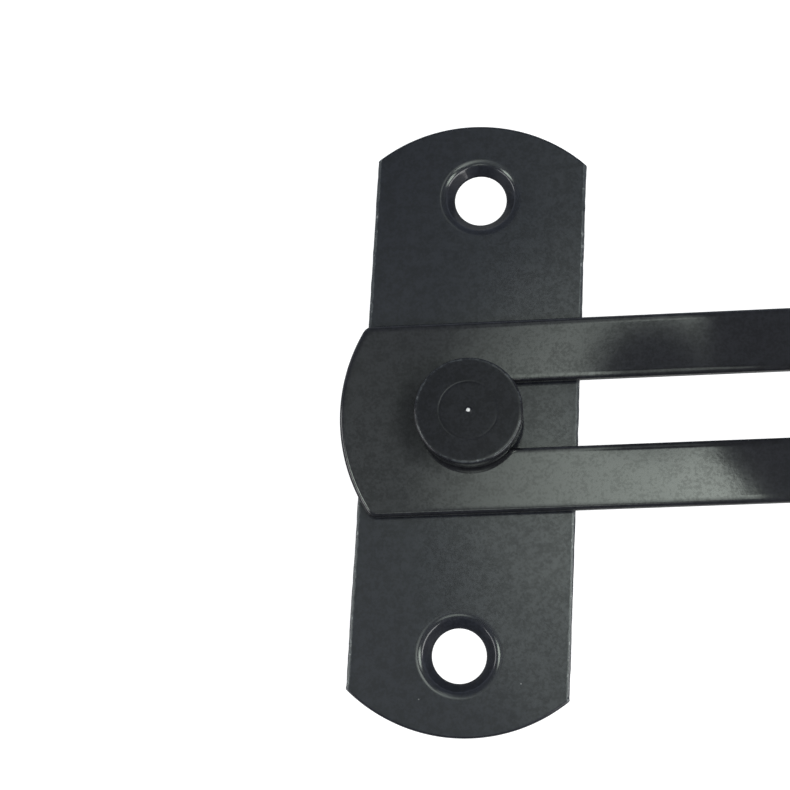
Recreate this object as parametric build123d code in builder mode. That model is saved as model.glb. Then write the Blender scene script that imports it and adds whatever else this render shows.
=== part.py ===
"""Casement window stay: a slotted arm that slides and turns on a headed stud, with a screw-on plate at each end.

The stay lies flat with both plates on Z = 0. The origin is the slide stud's axis where it meets the back of the
frame plate. The arm runs along +X to the sash plate, and both studs stand along +Z. All sizes are millimetres.
The stay stands fully extended, with the stud at the near end of the slot.
"""

import os
from math import cos, radians, sin, sqrt

from build123d import *

# Mounting plates, one for the window frame and one for the sash
plate_width = 30.0
plate_side_length = 75.5  # straight side edge, between the corners of the two curved ends
plate_end_radius = 22.7
plate_thickness = 1.6
plate_edge_break = 0.3
frame_plate_turn = -4.5  # degrees from square to the arm
sash_plate_turn = 0.0

# Screw holes, for 5 mm countersunk wood screws
screw_spacing = 65.0
screw_hole_diameter = 7.4
countersink_diameter = 10.0
countersink_angle = 90.0
countersink_lip = 0.9  # rounded rim of the countersink

# Arm, a flat bar
arm_length = 200.0
arm_width = 27.0
arm_thickness = 1.6
arm_end_radius = 25.0
arm_end_reach = 18.0  # from a stud's axis to the nearer end of the arm
arm_corner_radius = 1.5
arm_edge_radius = 0.55
slot_width = 9.4
hole_edge_radius = 0.5

# Studs: a headed pin, peened over in a countersink in the back of its plate
head_diameter = 14.8
head_thickness = 3.0
head_rim_radius = 0.35
head_under_radius = 0.15
ring_radius = 4.0  # fine turned ring in the top of the head
ring_width = 0.3
ring_depth = 0.06
nib_radius = 0.38  # nib left at the centre by the lathe
nib_height = 0.22
journal_diameter = 6.0
spigot_diameter = 5.0
tail_diameter = 6.4
tail_depth = 0.7
peened_recess = 0.1
stud_gap = 0.02  # between the spigot and its hole

# Stack of washers on each stud
spacer_diameter = 14.0
spacer_thickness = 0.25
thrust_diameter = 13.6
thrust_thickness = 0.3
washer_bore = 6.3
washer_edge_break = 0.08
spring_diameter = 12.4
spring_bore = 6.4
spring_stock = 0.2
spring_height = 0.35

# Nylon slide block in the slot, and nylon bush in the arm's pivot hole
nylon_bore = 6.1
nylon_thickness = 1.4
side_clearance = 0.08
block_length = 13.0

# Levels above the back of the plates
arm_bottom = plate_thickness + spacer_thickness
arm_top = arm_bottom + arm_thickness
spring_bottom = arm_top + thrust_thickness
head_bottom = spring_bottom + spring_height
head_top = head_bottom + head_thickness
nylon_bottom = arm_bottom + (arm_thickness - nylon_thickness) / 2

# Places along the arm. The slot ends before the two plates can meet, whichever way each is turned.
plate_end_rise = plate_end_radius - sqrt(plate_end_radius**2 - (plate_width / 2) ** 2)
plate_length = plate_side_length + 2 * plate_end_rise
plates_gap = 1.6
pivot_x = arm_length - 2 * arm_end_reach
slide_travel = pivot_x - plate_length - plates_gap
block_width = slot_width - 2 * side_clearance
block_end_x = (block_length - block_width) / 2
slot_start_x = -block_end_x
slot_end_x = slide_travel + block_end_x
arm_end_rise = arm_end_radius - sqrt(arm_end_radius**2 - (arm_width / 2) ** 2)


def flat_plane(x=0.0, z=0.0, turn=0.0):
    """A level plane at x along the arm and height z, turned about Z by some degrees."""
    return Plane(origin=(x, 0, z), x_dir=(cos(radians(turn)), sin(radians(turn)), 0), z_dir=(0, 0, 1))


def profile_plane(x):
    """An upright plane through a stud's axis, for the half sections that are turned about it."""
    return Plane(origin=(x, 0, 0), x_dir=(1, 0, 0), z_dir=(0, -1, 0))


def bar_outline(width, side_length, end_radius):
    """The edges of a bar's outline, along X: straight sides and shallow curved ends."""
    near, far = -side_length / 2, side_length / 2
    with BuildLine() as outline:
        Line((near, -width / 2), (far, -width / 2))
        RadiusArc((far, -width / 2), (far, width / 2), -end_radius)
        Line((far, width / 2), (near, width / 2))
        RadiusArc((near, width / 2), (near, -width / 2), -end_radius)
    return outline.edges()


def circles_of(builder, radius):
    """The round edges of that radius on a part being built."""
    return builder.edges().filter_by(GeomType.CIRCLE).filter_by(lambda edge: abs(edge.radius - radius) < 0.01)


def mounting_plate(label, x, turn):
    """A plate with two countersunk screw holes, and a central hole countersunk at the back for the stud's tail."""
    plane = flat_plane(x, turn=turn + 90)
    with BuildPart() as plate:
        with BuildSketch(plane):
            make_face(bar_outline(plate_width, plate_side_length, plate_end_radius))
        extrude(amount=plate_thickness)
        top_rim = plate.faces().sort_by(Axis.Z)[-1].outer_wire().edges()
        back_rim = plate.faces().sort_by(Axis.Z)[0].outer_wire().edges()
        chamfer(top_rim, plate_edge_break)
        chamfer(back_rim, plate_edge_break / 2)
        with Locations(plane.offset(plate_thickness)):
            with GridLocations(screw_spacing, 0, 2, 1):
                CounterSinkHole(
                    screw_hole_diameter / 2, countersink_diameter / 2, counter_sink_angle=countersink_angle
                )
        fillet(circles_of(plate, countersink_diameter / 2), countersink_lip)
        with BuildSketch(profile_plane(x)):
            with BuildLine():
                Polyline(
                    (0, 0),
                    (tail_diameter / 2, 0),
                    (spigot_diameter / 2, tail_depth),
                    (spigot_diameter / 2, plate_thickness),
                    (0, plate_thickness),
                    close=True,
                )
            make_face()
        revolve(axis=Axis((x, 0, 0), (0, 0, 1)), mode=Mode.SUBTRACT)
    plate.part.label = label
    return plate.part


def headed_stud(label, x):
    """A turned stud: domed nib, ringed flat head, journal for the nylon, spigot and peened tail."""
    spigot = spigot_diameter / 2 - stud_gap
    tail = tail_diameter / 2 - stud_gap
    head = head_diameter / 2
    journal = journal_diameter / 2
    ring_in, ring_out = ring_radius - ring_width / 2, ring_radius + ring_width / 2
    nib_cap_radius = (nib_radius**2 + nib_height**2) / (2 * nib_height)
    with BuildPart() as stud:
        with BuildSketch(profile_plane(x)):
            with BuildLine():
                Polyline(
                    (0, head_top + nib_height),
                    (0, peened_recess),
                    (spigot_diameter / 4, peened_recess),
                    (tail - peened_recess, 0),
                    (tail, 0),
                    (spigot, tail_depth),
                    (spigot, plate_thickness),
                    (journal, plate_thickness),
                    (journal, head_bottom),
                    (head, head_bottom),
                    (head, head_top),
                    (ring_out, head_top),
                    (ring_radius, head_top - ring_depth),
                    (ring_in, head_top),
                    (nib_radius, head_top),
                )
                RadiusArc((nib_radius, head_top), (0, head_top + nib_height), -nib_cap_radius)
            make_face()
        revolve(axis=Axis((x, 0, 0), (0, 0, 1)))
        for level, radius in ((head_top, head_rim_radius), (head_bottom, head_under_radius)):
            fillet(circles_of(stud, head).filter_by_position(Axis.Z, level - 0.01, level + 0.01), radius)
    stud.part.label = label
    return stud.part


def flat_washer(label, x, bottom, diameter, thickness):
    """A flat ring on a stud."""
    with BuildPart() as washer:
        with BuildSketch(flat_plane(x, bottom)):
            Circle(diameter / 2)
            Circle(washer_bore / 2, mode=Mode.SUBTRACT)
        extrude(amount=thickness)
        chamfer(washer.edges().filter_by(GeomType.CIRCLE), washer_edge_break)
    washer.part.label = label
    return washer.part


def disc_spring(label, x):
    """A coned spring washer that presses the head's load on to the arm and gives the stay its friction."""
    inner, outer = spring_bore / 2, spring_diameter / 2
    with BuildPart() as spring:
        with BuildSketch(profile_plane(x)):
            with BuildLine():
                Polyline(
                    (inner, head_bottom),
                    (inner, head_bottom - spring_stock),
                    (outer, spring_bottom),
                    (outer, spring_bottom + spring_stock),
                    close=True,
                )
            make_face()
        revolve(axis=Axis((x, 0, 0), (0, 0, 1)))
    spring.part.label = label
    return spring.part


def slide_block(label):
    """The round-ended nylon block that fills the slot round the stud and turns with the arm."""
    with BuildPart() as block:
        with BuildSketch(flat_plane(z=nylon_bottom)):
            SlotCenterToCenter(2 * block_end_x, block_width)
            Circle(nylon_bore / 2, mode=Mode.SUBTRACT)
        extrude(amount=nylon_thickness)
    block.part.label = label
    return block.part


def pivot_bush(label):
    """The nylon ring in the arm's pivot hole."""
    with BuildPart() as bush:
        with BuildSketch(flat_plane(pivot_x, nylon_bottom)):
            Circle(block_width / 2)
            Circle(nylon_bore / 2, mode=Mode.SUBTRACT)
        extrude(amount=nylon_thickness)
    bush.part.label = label
    return bush.part


def stay_arm(label):
    """The flat bar with its long slot and its pivot hole, all edges rounded over."""
    middle_x = arm_length / 2 - arm_end_reach
    with BuildPart() as arm:
        with BuildSketch(flat_plane(middle_x, arm_bottom)):
            make_face(bar_outline(arm_width, arm_length - 2 * arm_end_rise, arm_end_radius))
        extrude(amount=arm_thickness)
        fillet(arm.edges().filter_by(Axis.Z), arm_corner_radius)
        with BuildSketch(flat_plane((slot_start_x + slot_end_x) / 2, arm_bottom)):
            SlotCenterToCenter(slot_end_x - slot_start_x, slot_width)
        extrude(amount=arm_thickness, mode=Mode.SUBTRACT)
        for face in (arm.faces().sort_by(Axis.Z)[0], arm.faces().sort_by(Axis.Z)[-1]):
            fillet(face.edges(), arm_edge_radius)
        with BuildSketch(flat_plane(pivot_x, arm_bottom)):
            Circle(slot_width / 2)
        extrude(amount=arm_thickness, mode=Mode.SUBTRACT)
        fillet(circles_of(arm, slot_width / 2), hole_edge_radius)
    arm.part.label = label
    return arm.part


pieces = [
    mounting_plate("frame_plate", 0, frame_plate_turn),
    mounting_plate("sash_plate", pivot_x, sash_plate_turn),
    stay_arm("stay_arm"),
    slide_block("slide_block"),
    pivot_bush("pivot_bush"),
]
for end, x in (("slide", 0), ("pivot", pivot_x)):
    pieces += [
        headed_stud(f"{end}_stud", x),
        flat_washer(f"{end}_spacer_washer", x, plate_thickness, spacer_diameter, spacer_thickness),
        flat_washer(f"{end}_thrust_washer", x, arm_top, thrust_diameter, thrust_thickness),
        disc_spring(f"{end}_disc_spring", x),
    ]

os.makedirs("parts", exist_ok=True)
for piece in pieces:
    export_step(piece, f"parts/{piece.label}.step")
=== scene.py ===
"""Looks of the casement window stay: coated steel plates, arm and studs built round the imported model."""

import math

import bmesh
import bpy
import numpy as np
from mathutils import Matrix, Vector, geometry, noise


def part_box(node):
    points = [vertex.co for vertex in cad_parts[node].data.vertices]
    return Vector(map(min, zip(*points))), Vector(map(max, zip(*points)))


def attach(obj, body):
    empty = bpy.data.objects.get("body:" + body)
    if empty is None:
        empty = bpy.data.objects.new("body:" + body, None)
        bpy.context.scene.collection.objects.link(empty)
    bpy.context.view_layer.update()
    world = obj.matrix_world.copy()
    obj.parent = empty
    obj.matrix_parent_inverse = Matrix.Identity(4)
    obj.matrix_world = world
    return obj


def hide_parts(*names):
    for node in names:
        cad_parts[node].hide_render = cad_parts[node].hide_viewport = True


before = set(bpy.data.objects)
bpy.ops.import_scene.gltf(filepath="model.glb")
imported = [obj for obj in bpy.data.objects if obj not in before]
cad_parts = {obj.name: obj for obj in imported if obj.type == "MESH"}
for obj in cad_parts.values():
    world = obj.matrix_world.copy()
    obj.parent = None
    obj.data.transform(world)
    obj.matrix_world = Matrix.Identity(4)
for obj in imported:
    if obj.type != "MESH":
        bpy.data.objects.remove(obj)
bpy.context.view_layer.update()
MM = 0.001

# ---------------------------------------------------------------- sizes, in metres

plate_low, plate_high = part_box("sash_plate")
arm_low, arm_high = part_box("stay_arm")
pivot_x = (plate_low.x + plate_high.x) / 2
plate_half_width = (plate_high.x - plate_low.x) / 2
plate_half_length = (plate_high.y - plate_low.y) / 2
plate_top = plate_high.z
frame_plate_turn = math.radians(-4.5)
plate_end_radius = 22.7 * MM
plate_corner_radius = 0.45 * MM
plate_edge_radius = 0.3 * MM
arm_half_width = (arm_high.y - arm_low.y) / 2
arm_end_radius = 25 * MM
arm_corner_radius = 1.5 * MM
arm_edge_radius = 0.5 * MM
arm_roll_width = 0.6 * MM  # gentle fall of the top towards its edges, left by the press
arm_roll_tilt = math.radians(4.5)
slot_edge_radius = 0.4 * MM
slot_roll_width = 0.55 * MM
slot_roll_tilt = math.radians(4.5)
slot_radius = 4.7 * MM
slot_start_x = -1.88 * MM
slot_end_x = 77.46 * MM
pivot_edge_radius = 0.5 * MM
screw_y = 32.5 * MM
screw_hole_radius = 3.7 * MM
countersink_rim = 4.82 * MM  # where the cone meets the rounded lip
lip_radius = 0.5 * MM
spigot_radius = 2.5 * MM
tail_depth = 0.7 * MM  # of the countersink in a plate's back, which the stud's tail fills
stud_gap = 0.02 * MM  # between the spigot and its hole
peened_recess = 0.1 * MM
journal_radius = 3 * MM
flat_margin = 0.08 * MM  # flat ring inside each rounded edge, which keeps the shading of the flats clean
nib_height = 0.22 * MM
head_thickness = 3 * MM
head_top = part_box("slide_stud")[1].z - nib_height
head_bottom = head_top - head_thickness
head_radius = 7.4 * MM
head_rim_radius = 0.3 * MM
head_under_radius = 0.15 * MM
shear_depth = 0.6 * MM  # how far into a plate the marks of the shear reach


# ---------------------------------------------------------------- camera


def look(place, target, picture_up):
    """A turn that looks from place to target, with picture_up upwards in the picture."""
    back = (place - target).normalized()
    right = picture_up.cross(back).normalized()
    up = back.cross(right)
    turn = Matrix((right, up, back)).transposed()
    return Matrix.Translation(place) @ turn.to_4x4()


camera_place = Vector((8.2, -51.0, 225.9)) * MM
camera_target = Vector((-10.6, 4.6, -1.4)) * MM
camera_up = Vector((0.0418, 0.9713, 0.2340))
camera_data = bpy.data.cameras.new("camera")
camera_data.sensor_width = 36
camera_data.lens = 75.6
camera_data.clip_start = 0.01
camera = bpy.data.objects.new("camera", camera_data)
bpy.context.scene.collection.objects.link(camera)
camera.matrix_world = look(camera_place, camera_target, camera_up)
bpy.context.scene.camera = camera
bpy.context.scene.view_settings.view_transform = "Standard"


# ---------------------------------------------------------------- materials


class Graph:
    """A short way to build a node tree. place is the coordinate that its textures read."""

    def __init__(self, tree, coordinate):
        self.tree = tree
        self.place = self.add("ShaderNodeTexCoord").outputs[coordinate]

    def add(self, kind, **settings):
        """A new node of that kind."""
        node = self.tree.nodes.new(kind)
        for key, value in settings.items():
            setattr(node, key, value)
        return node

    def put(self, socket, value):
        """Gives an input socket a number, a colour or a link."""
        if isinstance(value, (int, float)):
            socket.default_value = value
        elif isinstance(value, tuple):
            socket.default_value = (*value, 1) if len(socket.default_value) == 4 else value
        else:
            self.tree.links.new(value, socket)

    def noise(self, scale, detail=3.0, roughness=0.5, place=None):
        """Noise with features of about 1/scale metres."""
        node = self.add("ShaderNodeTexNoise")
        self.put(node.inputs["Scale"], scale)
        self.put(node.inputs["Detail"], detail)
        self.put(node.inputs["Roughness"], roughness)
        self.put(node.inputs["Vector"], place or self.place)
        return node.outputs["Fac"]

    def stretched(self, x, y, z):
        """The place, scaled along each axis, for streaks."""
        node = self.add("ShaderNodeVectorMath", operation="MULTIPLY")
        self.put(node.inputs[0], self.place)
        self.put(node.inputs[1], (x, y, z))
        return node.outputs[0]

    def specks(self, spacing, radius, share):
        """1 in small round specks, about one per spacing, in that share of the cells."""
        cells = self.add("ShaderNodeTexVoronoi")
        self.put(cells.inputs["Vector"], self.place)
        self.put(cells.inputs["Scale"], 1 / spacing)
        spot = self.span(cells.outputs["Distance"], radius / spacing, 0.4 * radius / spacing)
        chosen = self.span(cells.outputs["Color"], share, share - 0.01)
        return self.times(spot, chosen)

    def span(self, value, low, high, to_low=0.0, to_high=1.0, smooth=True):
        """value from low..high to to_low..to_high, held at both ends. low may be above high."""
        if low > high:
            low, high, to_low, to_high = high, low, to_high, to_low
        node = self.add("ShaderNodeMapRange", interpolation_type="SMOOTHSTEP" if smooth else "LINEAR")
        for name, number in (("From Min", low), ("From Max", high), ("To Min", to_low), ("To Max", to_high)):
            self.put(node.inputs[name], number)
        self.put(node.inputs["Value"], value)
        return node.outputs["Result"]

    def math(self, operation, a, b=0.0):
        """The result of a Math node."""
        node = self.add("ShaderNodeMath", operation=operation)
        self.put(node.inputs[0], a)
        self.put(node.inputs[1], b)
        return node.outputs[0]

    def plus(self, a, b):
        return self.math("ADD", a, b)

    def minus(self, a, b):
        return self.math("SUBTRACT", a, b)

    def times(self, a, b):
        return self.math("MULTIPLY", a, b)

    def larger(self, a, b):
        return self.math("MAXIMUM", a, b)

    def length(self, a, b):
        """The long side of a right triangle with sides a and b."""
        return self.math("SQRT", self.plus(self.times(a, a), self.times(b, b)))

    def mix(self, factor, a, b):
        """Colour a where factor is 0, b where it is 1."""
        node = self.add("ShaderNodeMix", data_type="RGBA")
        self.put(node.inputs["Factor"], factor)
        colours = [socket for socket in node.inputs if socket.type == "RGBA"]
        self.put(colours[0], a)
        self.put(colours[1], b)
        return [socket for socket in node.outputs if socket.type == "RGBA"][0]

    def bump(self, height, distance, normal=None):
        """A normal tilted by a relief whose height goes from 0 to distance."""
        node = self.add("ShaderNodeBump")
        self.put(node.inputs["Strength"], 1.0)
        self.put(node.inputs["Distance"], distance)
        self.put(node.inputs["Height"], height)
        if normal is not None:
            self.put(node.inputs["Normal"], normal)
        return node.outputs["Normal"]


def material_graph(name):
    """A new material and its graph, with a Principled shader."""
    material = bpy.data.materials.new(name)
    material.use_nodes = True
    return material, Graph(material.node_tree, "Object")


def finish_material(graph, **values):
    """Sets the Principled shader's sockets by name, with _ for a space."""
    shader = graph.tree.nodes["Principled BSDF"]
    for name, value in values.items():
        graph.put(shader.inputs[name.replace("_", " ")], value)


coat_dark = 0.0063  # the black's own tone under its shine, between these two
coat_light = 0.0100
edge_tone = (0.040, 0.044, 0.048)
worn_tone = (0.26, 0.27, 0.27)
bare_tone = (0.62, 0.62, 0.60)


def across_plate(graph, x, turn):
    """Distance from the long middle line of a plate that stands at x, turned."""
    side = graph.add("ShaderNodeVectorMath", operation="DOT_PRODUCT")
    graph.put(side.inputs[0], graph.place)
    graph.put(side.inputs[1], (math.cos(turn), math.sin(turn), 0.0))
    return graph.math("ABSOLUTE", graph.minus(side.outputs["Value"], x * math.cos(turn)))


def distance_from(graph, x, y):
    """Distance in plan from an upright axis."""
    level = graph.add("ShaderNodeVectorMath", operation="MULTIPLY")
    graph.put(level.inputs[0], graph.place)
    graph.put(level.inputs[1], (1.0, 1.0, 0.0))
    apart = graph.add("ShaderNodeVectorMath", operation="DISTANCE")
    graph.put(apart.inputs[0], level.outputs[0])
    graph.put(apart.inputs[1], (x, y, 0.0))
    return apart.outputs["Value"]


def rings_round(graph, centres, radius, outer, inner, strength):
    """A ring round each of two centres, full within inner of its radius and gone beyond outer."""
    found = []
    for x, y in centres:
        off = graph.math("ABSOLUTE", graph.minus(distance_from(graph, x, y), radius))
        found.append(graph.span(off, outer, inner, 0.0, strength))
    return graph.larger(*found)


def black_tone(graph, mottle, tint, specks):
    """The coating's mottled black, with small pale specks in that share of the places for them."""
    dark, light = (tuple(level * share for share in tint) for level in (coat_dark, coat_light))
    tone = graph.mix(graph.span(mottle, 0.4, 0.6), dark, light)
    spots = graph.specks(5.5 * MM, 0.16 * MM, specks)
    return graph.mix(graph.times(spots, 0.5), tone, worn_tone)


def rubbed_tone(graph, rubbed, tone, flecks):
    """The tone, greyer where it is rubbed, with a ragged border and flecks of metal, and bare metal where
    rubbed is 2."""
    ragged = graph.plus(rubbed, graph.span(graph.noise(900, 3, 0.6), 0.3, 0.7, -0.3, 0.3))
    tone = graph.mix(graph.span(ragged, 0.5, 1.0), tone, edge_tone)
    chips = graph.noise(2600, 2, 0.5, graph.stretched(1.0, 0.45, 1.0))
    bare = graph.span(chips, 0.6, 0.68, 0.0, flecks)
    tone = graph.mix(graph.times(bare, graph.span(ragged, 0.6, 1.0)), tone, worn_tone)
    return graph.mix(graph.span(rubbed, 1.2, 1.8), tone, bare_tone)


def uneven_shine(graph, mottle, gloss, grain):
    """How much the coating mirrors: gloss, with its grain, wide smudges and faint streaks."""
    smudge = graph.noise(60, 3, 0.55)
    streaks = graph.noise(900, 2, 0.5, graph.stretched(1.0, 0.08, 1.0))
    uneven = graph.plus(smudge, graph.span(streaks, 0.3, 0.7, -0.04, 0.04))
    grainy = graph.span(mottle, 0.4, 0.6, gloss * (1 - grain), gloss * (1 + grain))
    return graph.times(grainy, graph.span(uneven, 0.35, 0.65, 0.88, 1.06))


def coating(
    name, tint, gloss, sharpness, haze, grain=0.3, specks=0.35, worn=None, flecks=0.6, matt_or_shade=None, polish=None
):
    """Satin black coating. gloss is how much it mirrors, sharpness the roughness of that, haze its wide
    sheen, and grain how uneven it is. worn(graph) is 1 where it is rubbed and 2 where it is bare, with flecks
    of metal. matt_or_shade(graph) is 1 where it mirrors nothing, from a matt finish or as painted shade, and
    polish(graph) is how much it mirrors at least."""
    material, graph = material_graph(name)
    blotch = graph.noise(620, 3, 0.6)
    fine = graph.noise(2300, 2, 0.6)
    mottle = graph.plus(graph.times(blotch, 0.45), graph.times(fine, 0.55))
    tone = black_tone(graph, mottle, tint, specks)
    shine = uneven_shine(graph, mottle, gloss, grain)
    if matt_or_shade is not None:
        # less mirror where the finish is matt, and where shade is painted
        shine = graph.times(shine, graph.span(matt_or_shade(graph), 0.0, 1.0, 1.0, 0.0, False))
    if polish is not None:
        shine = graph.larger(shine, polish(graph))
    if worn is not None:
        rubbed = worn(graph)
        tone = rubbed_tone(graph, rubbed, tone, flecks)
        shine = graph.larger(shine, graph.times(rubbed, 0.8))
    ripple = graph.bump(graph.noise(380, 2, 0.5), 0.002 * MM)
    relief = graph.bump(fine, 0.0007 * MM, ripple)
    finish_material(
        graph,
        Base_Color=tone,
        Roughness=graph.span(mottle, 0.35, 0.65, 0.44, 0.54),
        Specular_IOR_Level=haze,
        Coat_Weight=graph.math("MINIMUM", shine, 1.0),
        Coat_Roughness=sharpness,
        Normal=relief,
        Coat_Normal=relief,
    )
    return material


def plate_coating(name, x, turn):
    """The plates' coating: rubbed in a narrow band along the two sheared sides and on the countersinks' rims,
    and shiny on the lips round the screw holes."""
    band = 0.75 * MM
    shiny_lip = 5.3 * MM
    screws = [(x - side * screw_y * math.sin(turn), side * screw_y * math.cos(turn)) for side in (-1, 1)]

    def rubbed_edges(graph):
        across = across_plate(graph, x, turn)
        sides = graph.span(across, plate_half_width - band, plate_half_width - 0.45 * band)
        rims = rings_round(graph, screws, countersink_rim, 0.12 * MM, 0.04 * MM, 0.35)
        return graph.larger(sides, rims)

    def polished_lips(graph):
        return rings_round(graph, screws, shiny_lip, 0.8 * MM, 0.45 * MM, 0.85)

    return coating(
        name,
        (0.86, 1.0, 1.5),
        gloss=0.51,
        sharpness=0.1,
        haze=0.22,
        grain=0.22,
        worn=rubbed_edges,
        flecks=0.45,
        polish=polished_lips,
    )


def painted_head_shadow(graph):
    """Painted shadow of the slide stud's head: 1 in a ring round it, most of all on the side of the arm's
    end.
    """
    # painted shadow: the arm's coat is made to mirror less here, as if the head shaded it
    ring = graph.span(distance_from(graph, -1.0 * MM, -0.4 * MM), 10.5 * MM, 7.6 * MM)
    end_side = graph.span(distance_from(graph, -11.0 * MM, -1.0 * MM), 14.0 * MM, 4.0 * MM)
    return graph.times(ring, end_side)


def slot_lip_shade(graph):
    """Painted shade along the slot's edge: 1 on the arm's top there, but not beside the stud."""
    place = graph.add("ShaderNodeSeparateXYZ")
    graph.put(place.inputs[0], graph.place)
    slot_middle = (slot_start_x + slot_end_x) / 2
    slot_half = (slot_end_x - slot_start_x) / 2
    along = graph.math("ABSOLUTE", graph.minus(place.outputs["X"], slot_middle))
    beyond = graph.larger(graph.minus(along, slot_half), 0.0)
    off_edge = graph.minus(graph.length(beyond, place.outputs["Y"]), slot_radius)
    near = graph.span(off_edge, 1.1 * MM, 0.8 * MM)
    past_stud = graph.span(place.outputs["X"], 16 * MM, 22 * MM)
    on_top = graph.span(place.outputs["Z"], arm_high.z - 0.4 * MM, arm_high.z - 0.25 * MM)
    return graph.times(graph.times(near, past_stud), on_top)


def painted_shade_places(graph):
    """Painted shade on the arm: 0 where it mirrors fully, 1 where it mirrors nothing."""
    return graph.larger(graph.times(painted_head_shadow(graph), 0.6), graph.times(slot_lip_shade(graph), 0.8))


def rim_of_head(graph):
    """The studs' coating is polished on the rim of the head, and gone from the nib."""
    return graph.add("ShaderNodeAttribute", attribute_name="edge").outputs["Fac"]


def top_of_head(graph):
    """The turned top of the head is matt, and its wall is glossy."""
    height = graph.add("ShaderNodeSeparateXYZ")
    graph.put(height.inputs[0], graph.place)
    return graph.span(height.outputs["Z"], head_top - 0.12 * MM, head_top - 0.03 * MM, 0.0, 0.87)


arm_coat = coating(
    "arm_coating",
    (0.98, 1.0, 1.25),
    gloss=0.95,
    sharpness=0.052,
    haze=0.1,
    grain=0.2,
    specks=0.25,
    # painted shade: the arm mirrors less in the stud head's painted shadow and along the slot's edge
    matt_or_shade=painted_shade_places,
)
stud_coat = coating(
    "stud_coating",
    (0.95, 1.0, 1.3),
    gloss=0.9,
    sharpness=0.12,
    haze=0.1,
    grain=0.15,
    worn=rim_of_head,
    flecks=0.25,
    matt_or_shade=top_of_head,
)
nylon = coating("nylon", (1.0, 1.0, 1.0), gloss=0.1, sharpness=0.4, haze=0.3, specks=0.0)
spring_steel = coating("spring_steel", (1.5, 1.5, 1.5), gloss=0.5, sharpness=0.2, haze=0.5, specks=0.2)


# ---------------------------------------------------------------- outlines


def arc(centre, radius, start, end, step):
    """Points of an arc and the outward normals there, without the last point."""
    count = max(2, int(math.ceil(abs(end - start) * radius / step)))
    angle = start + (end - start) * np.arange(count) / count
    normal = np.stack([np.cos(angle), np.sin(angle)], axis=1)
    return np.array(centre) + radius * normal, normal


def line(start, end, step):
    """Points of a straight stretch and the normals on its right, without the last point."""
    start, end = np.array(start), np.array(end)
    along = end - start
    length = float(np.linalg.norm(along))
    count = max(1, int(math.ceil(length / step)))
    points = start + along * (np.arange(count) / count)[:, None]
    normal = np.array([along[1], -along[0]]) / length
    return points, np.repeat(normal[None], count, axis=0)


def bar_outline(half_width, half_length, end_radius, corner_radius, side_step, end_step):
    """A bar's outline, counter-clockwise, long axis along X: straight sides, arc ends, small round corners.
    Returns points, outward normals, and 1 on the sides and 0 on the ends."""
    end_centre = half_length - end_radius
    corner_y = half_width - corner_radius
    corner_x = end_centre + math.sqrt((end_radius - corner_radius) ** 2 - corner_y**2)
    lean = math.atan2(corner_y, corner_x - end_centre)
    corner_step = corner_radius / 4
    half = []
    half.append((*line((-corner_x, -half_width), (corner_x, -half_width), side_step), 1))
    half.append((*arc((corner_x, -corner_y), corner_radius, -math.pi / 2, -lean, corner_step), 0))
    half.append((*arc((end_centre, 0), end_radius, -lean, lean, end_step), 0))
    half.append((*arc((corner_x, corner_y), corner_radius, lean, math.pi / 2, corner_step), 0))
    points = np.concatenate([p for p, _, _ in half])
    normals = np.concatenate([m for _, m, _ in half])
    sides = np.concatenate([np.full(len(p), s) for p, _, s in half])
    return np.concatenate([points, -points]), np.concatenate([normals, -normals]), np.tile(sides, 2)


def hole_outline(start_x, end_x, y, radius, step):
    """A round hole, or a slot if end_x differs, with normals that point into the opening."""
    if start_x == end_x:
        points, normals = arc((start_x, y), radius, 0, 2 * math.pi, step)
        return points, -normals, np.zeros(len(points))
    pieces = [
        line((start_x, y - radius), (end_x, y - radius), step * 3),
        arc((end_x, y), radius, -math.pi / 2, math.pi / 2, step),
        line((end_x, y + radius), (start_x, y + radius), step * 3),
        arc((start_x, y), radius, math.pi / 2, math.pi * 3 / 2, step),
    ]
    points = np.concatenate([p for p, _ in pieces])
    return points, -np.concatenate([m for _, m in pieces]), np.zeros(len(points))


def rounded(low, high, radius, steps, wall_steps, roll_width=0.0, roll_tilt=0.0):
    """An edge's profile from the low face to the high face, as (depth into the material, height): round
    corners, and a gentle roll of the high face towards them."""
    roll_steps = 6
    profile = [(radius + flat_margin, low)]
    for k in range(steps + 1):
        angle = math.pi / 2 * k / steps
        profile.append((radius * (1 - math.sin(angle)), low + radius * (1 - math.cos(angle))))
    fall = math.tan(roll_tilt) * roll_width / 2
    corner_top = high - fall + radius * (1 - math.cos(roll_tilt))
    wall_low = low + radius
    wall_high = corner_top - radius
    profile += [(0, wall_low + (wall_high - wall_low) * k / wall_steps) for k in range(1, wall_steps)]
    for k in range(steps + 1):
        angle = (math.pi / 2 - roll_tilt) * k / steps
        profile.append((radius * (1 - math.cos(angle)), corner_top - radius * (1 - math.sin(angle))))
    depth, height = profile[-1]
    if roll_width:
        for k in range(1, roll_steps + 1):
            run = roll_width * k / roll_steps
            rise = math.tan(roll_tilt) * (run - run**2 / (2 * roll_width))
            profile.append((depth + run, height + rise))
    profile.append((profile[-1][0] + flat_margin, high))
    return profile


# ---------------------------------------------------------------- meshes


def inside(points, polygon):
    """Which points lie inside a closed polygon, by the even-odd rule."""
    result = np.zeros(len(points), bool)
    a, b = polygon, np.roll(polygon, -1, axis=0)
    for (ax, ay), (bx, by) in zip(a, b):
        crosses = (ay > points[:, 1]) != (by > points[:, 1])
        if by != ay:
            result ^= crosses & (points[:, 0] < (bx - ax) * (points[:, 1] - ay) / (by - ay) + ax)
    return result


def within(points, rings):
    """Which points lie inside the first ring and outside the others."""
    result = inside(points, rings[0])
    for ring in rings[1:]:
        result &= ~inside(points, ring)
    return result


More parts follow.
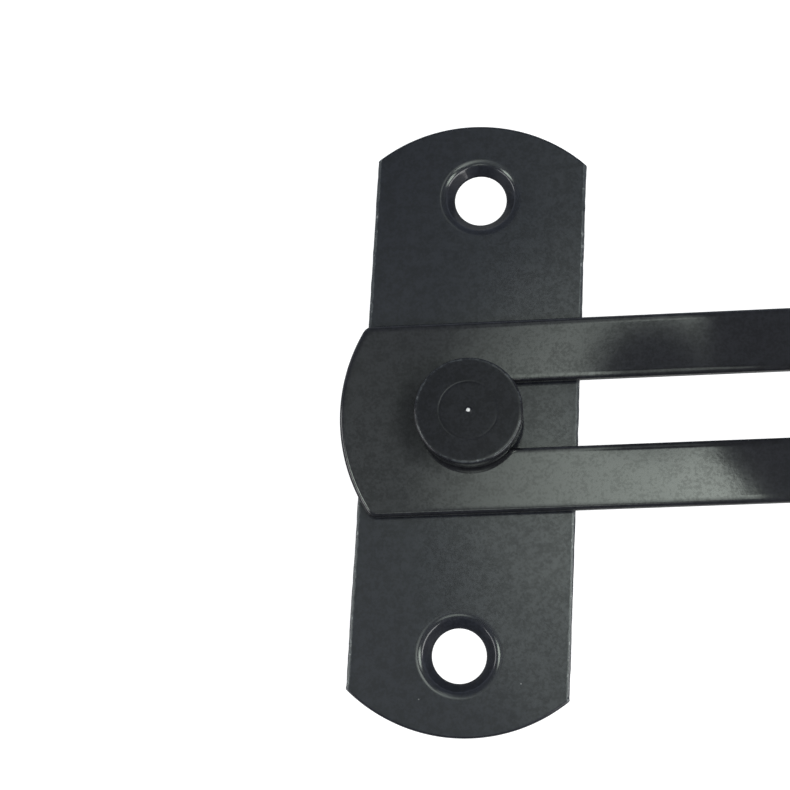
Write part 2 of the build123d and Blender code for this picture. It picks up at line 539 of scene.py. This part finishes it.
def lattice_in(rings, step):
    """Points a step apart, in rows of equal triangles, inside the first ring and outside the others.
    The rows keep off the first ring's straight sides."""
    low, high = rings[0].min(axis=0), rings[0].max(axis=0)
    row_gap = step * 0.866
    rows = []
    for j, y in enumerate(np.arange(low[1] + step / 2, high[1] - step / 4, row_gap)):
        xs = np.arange(low[0] + (j % 2) * step / 2, high[0], step)
        rows.append(np.stack([xs, np.full(len(xs), y)], axis=1))
    lattice = np.concatenate(rows)
    lattice = lattice[within(lattice, rings)]
    border = np.concatenate(rings)
    off_border = np.array([np.hypot(*(border - p).T).min() for p in lattice])
    return lattice[off_border > step * 0.45]


def cap(rings, step):
    """Triangles that fill the flat region inside the first ring and outside the others.
    Returns the added inner points and the triangles, which count the rings' points first."""
    lattice = lattice_in(rings, step)
    points = np.concatenate([*rings, lattice])
    edges = []
    start = 0
    for ring in rings:
        edges += [(start + k, start + (k + 1) % len(ring)) for k in range(len(ring))]
        start += len(ring)
    scaled = [Vector(p / MM) for p in points]
    _, _, made_faces, origins, _, _ = geometry.delaunay_2d_cdt(scaled, edges, [], 0, 1e-6, True)
    faces = np.array([[origins[v][0] for v in face] for face in made_faces])
    return lattice, faces[within(points[faces].mean(axis=1), rings)]


def solid_bar(name, loops, low, high, cap_step, shape=None):
    """A flat bar's mesh. Each loop is (points, normals, sides, profile), the outline first, then the holes.
    shape(loop's number, points, heights, depth, normals, sides) may move a ring of an edge's points."""
    vertices = []
    faces = []
    low_rings, low_ids = [], []
    high_rings, high_ids = [], []
    for index, (points, normals, sides, profile) in enumerate(loops):
        count = len(points)
        first = len(vertices)
        for depth, height in profile:
            ring = points - normals * depth
            heights = np.full(count, height)
            if shape is not None:
                ring, heights = shape(index, ring, heights, depth, normals, sides)
            vertices += [(*p, z) for p, z in zip(ring, heights)]
        for k in range(len(profile) - 1):
            for j in range(count):
                a = first + k * count + j
                b = first + k * count + (j + 1) % count
                faces.append((a, b, b + count, a + count))
        last = len(vertices) - count
        low_ids += range(first, first + count)
        high_ids += range(last, len(vertices))
        low_rings.append(np.array([v[:2] for v in vertices[first : first + count]]))
        high_rings.append(np.array([v[:2] for v in vertices[last:]]))
    for rings, ids, height in ((low_rings, low_ids, low), (high_rings, high_ids, high)):
        inner, triangles = cap(rings, cap_step)
        all_ids = np.array(ids + list(range(len(vertices), len(vertices) + len(inner))))
        vertices += [(*p, height) for p in inner]
        faces += [tuple(all_ids[t]) for t in triangles]
    return mesh_object(name, vertices, faces)


def mesh_object(name, vertices, faces):
    """A smooth-shaded object with its faces turned outwards."""
    mesh = bpy.data.meshes.new(name)
    mesh.from_pydata([tuple(map(float, v)) for v in vertices], [], [tuple(map(int, f)) for f in faces])
    work = bmesh.new()
    work.from_mesh(mesh)
    bmesh.ops.recalc_face_normals(work, faces=work.faces)
    work.to_mesh(mesh)
    work.free()
    mesh.shade_smooth()
    piece = bpy.data.objects.new(name, mesh)
    bpy.context.scene.collection.objects.link(piece)
    return piece


def lathe(name, x, profile, segments):
    """A turned piece about an upright axis at x. The profile, from axis to axis, has (radius, height, how
    rubbed) for each point."""
    vertices, rubbed, rings = [], [], []
    for radius, height, rub in profile:
        rubbed += [rub] * (segments if radius else 1)
        if radius == 0:
            rings.append([len(vertices)])
            vertices.append((x, 0, height))
            continue
        rings.append(list(range(len(vertices), len(vertices) + segments)))
        for k in range(segments):
            angle = 2 * math.pi * k / segments
            vertices.append((x + radius * math.cos(angle), radius * math.sin(angle), height))
    faces = []
    for a, b in zip(rings, rings[1:]):
        for k in range(segments):
            j = (k + 1) % segments
            if len(a) == 1:
                faces.append((a[0], b[j], b[k]))
            elif len(b) == 1:
                faces.append((a[k], a[j], b[0]))
            else:
                faces.append((a[k], a[j], b[j], b[k]))
    piece = mesh_object(name, vertices, faces)
    piece.data.attributes.new("edge", "FLOAT", "POINT").data.foreach_set("value", rubbed)
    return piece


def stand_for(piece, node, body, slot, *materials):
    """piece is shown in place of a CAD node, rides with its body and wears the materials."""
    for material in materials:
        piece.data.materials.append(material)
    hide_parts(node)
    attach(piece, body)


# ---------------------------------------------------------------- plates


def countersunk(thickness):
    """A screw hole's profile: back edge, wall, cone, rounded lip, and a slight fall of the top round it."""
    fall_radius = 3.2 * MM
    lean = math.radians(16)  # where the lip goes over into the fall
    steep = math.radians(45)
    fall = fall_radius * (1 - math.cos(lean))
    cone_top = thickness - fall - lip_radius * (math.cos(lean) - math.cos(steep))
    rim_depth = countersink_rim - screw_hole_radius
    cone_foot = cone_top - rim_depth
    back_break = 0.12 * MM
    profile = [(0.25 * MM, 0), (back_break, 0), (back_break / 4, back_break / 4), (0, back_break)]
    profile += [(0, cone_foot - 0.08 * MM), (0.04 * MM, cone_foot + 0.04 * MM)]
    profile += [(rim_depth * k / 5, cone_foot + rim_depth * k / 5) for k in (1, 2, 3, 4)]
    for k in range(9):
        angle = steep + (lean - steep) * k / 8
        depth = rim_depth + lip_radius * (math.sin(steep) - math.sin(angle))
        profile.append((depth, cone_top + lip_radius * (math.cos(angle) - math.cos(steep))))
    fall_end = profile[-1][0] + fall_radius * math.sin(lean)
    for k in range(1, 9):
        angle = lean * (1 - k / 8)
        depth = fall_end - fall_radius * math.sin(angle)
        profile.append((depth, thickness - fall_radius * (1 - math.cos(angle))))
    profile.append((fall_end + flat_margin, thickness))
    return profile


def stud_hole(thickness):
    """The profile of the hole for a stud's spigot, countersunk at the back for its tail."""
    margin = 0.1 * MM
    return [(tail_depth + margin, 0), (tail_depth, 0), (0, tail_depth), (0, thickness), (margin, thickness)]


def sheared(index, ring, heights, depth, normals, sides):
    """Nicks and drag marks that the shear leaves along a plate's straight sides."""
    if index > 0 or depth > shear_depth:
        return ring, heights
    moved = ring.copy()
    for k, (x, y) in enumerate(ring):
        if sides[k]:
            z = heights[k]
            nick = noise.noise(Vector((x * 900, y * 40, z * 500)))
            coarse = noise.noise(Vector((x * 220, y * 30, z * 150 + 7)))
            bite = max(0.0, 0.04 + 0.05 * nick + 0.05 * coarse) * MM
            moved[k] = ring[k] - normals[k] * bite
    return moved, heights


def make_plate(name):
    """A mounting plate on its own axes, long axis along X."""
    side_step = 0.4 * MM
    end_step = 0.5 * MM
    outline = bar_outline(
        plate_half_width, plate_half_length, plate_end_radius, plate_corner_radius, side_step, end_step
    )
    loops = [(*outline, rounded(0, plate_top, plate_edge_radius, 6, 8))]
    for x in (-screw_y, screw_y):
        loops.append((*hole_outline(x, x, 0, screw_hole_radius, 0.22 * MM), countersunk(plate_top)))
    loops.append((*hole_outline(0, 0, 0, spigot_radius, 0.3 * MM), stud_hole(plate_top)))
    return solid_bar(name, loops, 0, plate_top, cap_step=1.4 * MM, shape=sheared)


def place_plate(piece, x, turn):
    """Moves a plate's mesh to its stud's axis, turned from square to the arm."""
    piece.data.transform(Matrix.Translation((x, 0, 0)) @ Matrix.Rotation(turn + math.pi / 2, 4, "Z"))


for label, body, x, turn in (
    ("frame_plate", "frame_side", 0, frame_plate_turn),
    ("sash_plate", "sash_side", pivot_x, 0),
):
    plate = make_plate(label + "_coated")
    place_plate(plate, x, turn)
    stand_for(plate, label, body, "black_coating", plate_coating(label + "_coating", x, turn))


# ---------------------------------------------------------------- arm

arm_middle_x = (arm_low.x + arm_high.x) / 2
arm_points, arm_normals, arm_sides = bar_outline(
    arm_half_width, (arm_high.x - arm_low.x) / 2, arm_end_radius, arm_corner_radius, 2 * MM, 0.5 * MM
)
arm_points += np.array([arm_middle_x, 0])
arm_profile = rounded(arm_low.z, arm_high.z, arm_edge_radius, 8, 2, arm_roll_width, arm_roll_tilt)
slot = hole_outline(slot_start_x, slot_end_x, 0, slot_radius, 0.35 * MM)
slot_profile = rounded(arm_low.z, arm_high.z, slot_edge_radius, 6, 2, slot_roll_width, slot_roll_tilt)
pivot_hole = hole_outline(pivot_x, pivot_x, 0, slot_radius, 0.35 * MM)
pivot_profile = rounded(arm_low.z, arm_high.z, pivot_edge_radius, 5, 2)
arm = solid_bar(
    "stay_arm_coated",
    [(arm_points, arm_normals, arm_sides, arm_profile), (*slot, slot_profile), (*pivot_hole, pivot_profile)],
    arm_low.z,
    arm_high.z,
    cap_step=1.8 * MM,
)
stand_for(arm, "stay_arm", "arm", "black_coating", arm_coat)


# ---------------------------------------------------------------- studs


def stud_profile():
    """A stud's profile from its tail's centre to its nib's, as (radius, height, how rubbed). The points on
    the head's top are in millimetres, with heights above its flat."""
    spigot = spigot_radius - stud_gap
    tail = spigot + tail_depth
    lower = [
        (0, peened_recess),
        (spigot_radius / 2, peened_recess),
        (tail - peened_recess, 0),
        (tail, 0),
        (spigot, tail_depth),
        (spigot, plate_top),
        (journal_radius, plate_top),
        (journal_radius, head_bottom),
        (head_radius - 0.4 * MM, head_bottom),
    ]
    profile = [(radius, height, 0.0) for radius, height in lower]
    for k in range(5):
        angle = math.pi / 2 * k / 4
        inset = head_under_radius * (1 - math.sin(angle))
        rise = head_under_radius * (1 - math.cos(angle))
        profile.append((head_radius - inset, head_bottom + rise, 0.0))
    for k in range(9):
        angle = math.pi / 2 * k / 8
        inset = head_rim_radius * (1 - math.cos(angle))
        drop = head_rim_radius * (1 - math.sin(angle))
        profile.append((head_radius - inset, head_top - drop, 0.7 * math.sin(angle)))
    outer_flat = [(6.75, 0, 0), (6.6, 0, 0), (4.25, 0, 0)]
    ring = [(4.15, 0, 0.35), (4.08, -0.008, 0.35), (4.0, -0.012, 0), (3.92, -0.008, 0), (3.85, 0, 0)]
    inner_flat = [(3.7, 0, 0), (0.6, 0, 0), (0.45, 0, 0)]
    nib = [(0.38, 0.03, 0.3), (0.33, 0.1, 0.9), (0.25, 0.17, 1.5), (0.12, 0.21, 2), (0, 0.22, 2)]
    top = outer_flat + ring + inner_flat + nib
    return profile + [(radius * MM, head_top + height * MM, rub) for radius, height, rub in top]


for end, body, x in (("slide", "frame_side", 0), ("pivot", "sash_side", pivot_x)):
    stud = lathe(f"{end}_stud_coated", x, stud_profile(), segments=144)
    stand_for(stud, f"{end}_stud", body, "black_coating", stud_coat)


# ---------------------------------------------------------------- CAD nodes that stay

kept = {
    nylon: ("slide_block", "pivot_bush", "slide_spacer_washer", "pivot_spacer_washer", "slide_thrust_washer",
            "pivot_thrust_washer"),
    spring_steel: ("slide_disc_spring", "pivot_disc_spring"),
}
for material, nodes in kept.items():
    for node in nodes:
        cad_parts[node].data.materials.clear()
        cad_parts[node].data.materials.append(material)


# ---------------------------------------------------------------- floor and light


def make_floor():
    """A wide pale floor just below the stay, which the camera sees as white."""
    half_side = 6.0
    below = 0.02 * MM
    material, graph = material_graph("floor")
    pale = graph.mix(graph.span(graph.noise(3), 0.3, 0.7), (0.34, 0.34, 0.34), (0.36, 0.36, 0.36))
    seen = graph.add("ShaderNodeLightPath").outputs["Is Camera Ray"]
    finish_material(
        graph,
        Base_Color=pale,
        Roughness=0.9,
        Specular_IOR_Level=0.1,
        Emission_Color=(1.0, 1.0, 1.0),
        Emission_Strength=graph.times(seen, 0.9),
    )
    mesh = bpy.data.meshes.new("floor")
    corners = [(x * half_side, y * half_side, -below) for x, y in ((-1, -1), (1, -1), (1, 1), (-1, 1))]
    mesh.from_pydata(corners, [], [(0, 1, 2, 3)])
    mesh.materials.append(material)
    floor = bpy.data.objects.new("floor", mesh)
    bpy.context.scene.collection.objects.link(floor)
    return floor


floor = make_floor()


def softbox(name, azimuth, elevation, width, height, radiance):
    """A rectangle of light that faces the origin from half a metre away, with its own brightness."""
    distance = 0.5
    turn, rise = math.radians(azimuth), math.radians(elevation)
    level = math.cos(rise)
    place = distance * Vector((math.cos(turn) * level, math.sin(turn) * level, math.sin(rise)))
    data = bpy.data.lights.new(name, "AREA")
    data.shape = "RECTANGLE"
    data.size = width
    data.size_y = height
    data.energy = radiance * math.pi * width * height
    light = bpy.data.objects.new(name, data)
    bpy.context.scene.collection.objects.link(light)
    light.matrix_world = look(place, Vector(), Vector((0, 0, 1)))
    light.visible_camera = False


softbox("window_left", 190, 35, 0.45, 0.2, 5.0)
softbox("window_right", -28, 38, 0.45, 0.3, 5.5)


def ceiling_place(graph, direction):
    """A place on the ceiling, named by the point of the arm's top where the camera sees it mirrored."""
    rise = graph.larger(direction.outputs["Z"], 0.05)
    reach = camera_place.z - arm_high.z
    place = []
    for axis, start in (("X", camera_place.x), ("Y", camera_place.y)):
        slope = graph.math("DIVIDE", direction.outputs[axis], rise)
        place.append(graph.plus(graph.times(slope, reach), start))
    return place


def oval(graph, place, centre, radii, inner, smooth=True):
    """1 inside the part inner of an oval's radius, falling to 0 at its edge. Sizes are in millimetres."""
    off = []
    for value, middle, radius in zip(place, centre, radii):
        off.append(graph.math("DIVIDE", graph.minus(value, middle * MM), radius * MM))
    return graph.span(graph.length(*off), inner, 1.0, 1.0, 0.0, smooth)


def ceiling_light(graph, direction):
    """A glow that stops at a slanted edge and has a dark spot in it, and three lamps."""
    place = ceiling_place(graph, direction)
    glow = graph.times(oval(graph, place, (34, -12), (43, 47), 0.0, False), 6.4)
    wide = graph.times(oval(graph, place, (-4, -22), (92, 70), 0.1), 0.64)
    upper = graph.times(oval(graph, place, (45, 42), (62, 42), 0.0), 1.2)
    slant = graph.times(graph.span(place[1], -14.0 * MM, -6.3 * MM, -7.7 * MM, 0.0, False), 0.75)
    edge = graph.span(graph.plus(place[0], slant), 31.3 * MM, 33.7 * MM, 1.0, 0.0)
    light = graph.times(graph.plus(glow, graph.plus(wide, upper)), edge)
    dark_spot = oval(graph, place, (25.6, 4.2), (13.3, 13.4), 0.4)
    light = graph.times(light, graph.span(dark_spot, 0.0, 1.0, 1.0, 0.0, False))
    left_lamp = graph.times(oval(graph, place, (-73, -32), (27, 32), 0.3), 11.5)
    right_lamp = graph.times(oval(graph, place, (84, -28), (33, 30), 0.4), 10.0)
    front_lamp = graph.times(oval(graph, place, (5, -100), (44, 28), 0.3), 3.2)
    return graph.plus(light, graph.plus(graph.plus(left_lamp, right_lamp), front_lamp))


def wall_light(graph, direction):
    """1 all round, and more low down on the far wall."""
    low_down = graph.span(direction.outputs["Z"], 0.8, 0.35, 0.0, 1.0, False)
    far_wall = graph.times(low_down, graph.span(direction.outputs["Y"], 0.0, 0.4))
    return graph.plus(graph.times(far_wall, 2.4), 1.0)


def background(graph, colour, strength=1.0):
    """Light of that colour from all round."""
    node = graph.add("ShaderNodeBackground")
    graph.put(node.inputs["Color"], colour)
    graph.put(node.inputs["Strength"], strength)
    return node.outputs[0]


def make_room():
    """A dim bluish room with a lighter far wall and a glowing ceiling. The camera itself sees only white."""
    world = bpy.data.worlds.new("studio")
    bpy.context.scene.world = world
    world.use_nodes = True
    world.node_tree.nodes.clear()
    graph = Graph(world.node_tree, "Generated")
    direction = graph.add("ShaderNodeSeparateXYZ")
    graph.put(direction.inputs[0], graph.place)
    lit = graph.add("ShaderNodeAddShader")
    graph.put(lit.inputs[0], background(graph, (0.138, 0.152, 0.183), wall_light(graph, direction)))
    graph.put(lit.inputs[1], background(graph, (0.9, 1.0, 0.9), ceiling_light(graph, direction)))
    chosen = graph.add("ShaderNodeMixShader")
    graph.put(chosen.inputs["Fac"], graph.add("ShaderNodeLightPath").outputs["Is Camera Ray"])
    graph.put(chosen.inputs[1], lit.outputs[0])
    graph.put(chosen.inputs[2], background(graph, (1.0, 1.0, 1.0)))
    graph.put(graph.add("ShaderNodeOutputWorld").inputs["Surface"], chosen.outputs[0])


make_room()
